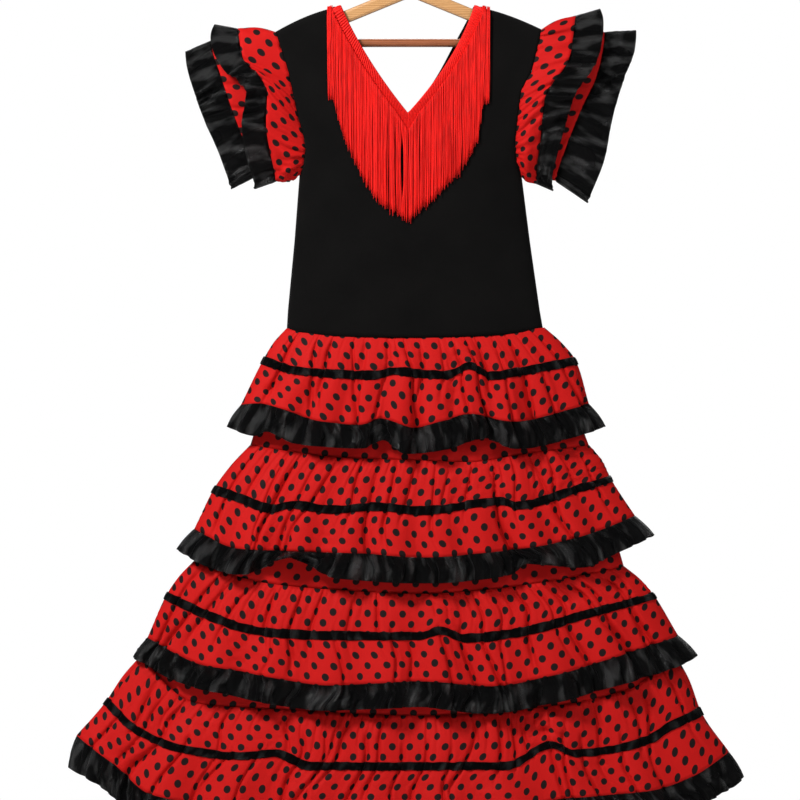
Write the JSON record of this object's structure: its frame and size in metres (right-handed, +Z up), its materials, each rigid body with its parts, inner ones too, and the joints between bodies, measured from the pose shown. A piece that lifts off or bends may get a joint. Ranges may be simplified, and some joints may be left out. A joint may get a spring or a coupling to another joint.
{
  "type": "flamenco dress on a hanger",
  "caption": "girl's flamenco dress on a wooden hanger: black knit bodice with a braided, fringed V neck, double flounced sleeves, dotted red tiered skirt edged with black satin ruffles",
  "frame": {"origin": "inside top of the hanger's hook, where the rail bears", "axes": "+Z up, the dress hangs down -Z; its front faces -Y; +X is the viewer's right when facing the front"},
  "size_m": [0.8156, 0.163, 1.1238],
  "materials": {
    "knit": "matte black jersey knit",
    "dotted": "red crepe with small black polka dots, soft sheen",
    "satin": "black satin, bright on the folds",
    "ribbon": "narrow black satin ribbon",
    "fringe": "bright red silky fringe",
    "braid": "bright red ridged braid",
    "wood": "light varnished beech",
    "bar": "reddish brown varnished dowel",
    "steel": "polished steel wire"
  },
  "bodies": {
    "root": {"base1_back": "dotted", "base1_front": "dotted", "base2_back": "dotted", "base2_back_left": "dotted", "base2_back_right": "dotted", "base2_front": "dotted", "base2_front_left": "dotted", "base2_front_right": "dotted", "base3_back": "dotted", "base3_back_left": "dotted", "base3_back_right": "dotted", "base3_front": "dotted", "base3_front_left": "dotted", "base3_front_right": "dotted", "bodice_back": "knit", "bodice_front": "knit", "fringe_left": "fringe", "fringe_right": "fringe", "hanger_arms": "wood", "hanger_bar": "bar", "hanger_hook": "steel", "hem1_back": "satin", "hem1_front": "satin", "hem2_back": "satin", "hem2_front": "satin", "hem3_back": "satin", "hem3_front": "satin", "hem4_back": "satin", "hem4_front": "satin", "neck_braid": "braid", "ribbon1_back": "ribbon", "ribbon1_front": "ribbon", "ribbon2_back": "ribbon", "ribbon2_front": "ribbon", "ribbon3_back": "ribbon", "ribbon3_front": "ribbon", "ribbon4_back": "ribbon", "ribbon4_front": "ribbon", "sleeve_left_lower": "dotted", "sleeve_left_lower_ruffle": "satin", "sleeve_left_upper": "dotted", "sleeve_left_upper_ruffle": "satin", "sleeve_right_lower": "dotted", "sleeve_right_lower_ruffle": "satin", "sleeve_right_upper": "dotted", "sleeve_right_upper_ruffle": "satin", "tier1_back": "dotted", "tier1_front": "dotted", "tier2_back": "dotted", "tier2_front": "dotted", "tier3_back": "dotted", "tier3_front": "dotted", "tier4_back": "dotted", "tier4_front": "dotted"}
  },
  "joints": []
}
